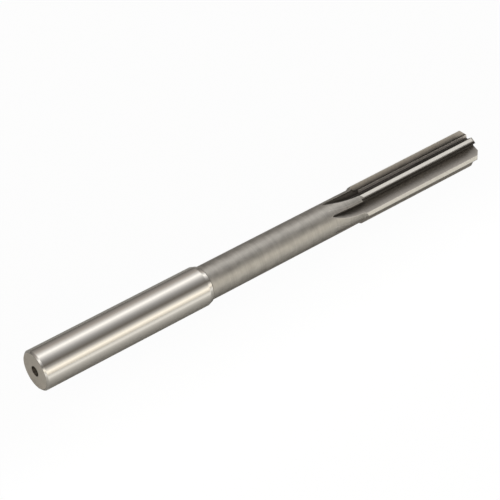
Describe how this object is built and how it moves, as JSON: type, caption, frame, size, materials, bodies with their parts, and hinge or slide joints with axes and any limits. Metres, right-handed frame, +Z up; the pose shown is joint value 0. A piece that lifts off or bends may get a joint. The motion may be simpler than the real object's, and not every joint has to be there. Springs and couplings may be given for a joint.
{
  "type": "machine reamer",
  "caption": "Straight-shank machine reamer with straight flutes: right-hand cutting, for finishing drilled holes to 10 mm.",
  "frame": {"origin": "on the tool's axis, in the plane of the shank end face", "axes": "+X along the axis from the shank end to the point, +Z up with the tool lying on its shank and two teeth"},
  "size_m": [0.133, 0.01, 0.01],
  "materials": {
    "tool_steel": "ground"
  },
  "bodies": {
    "root": {"reamer": "tool_steel"}
  },
  "joints": []
}
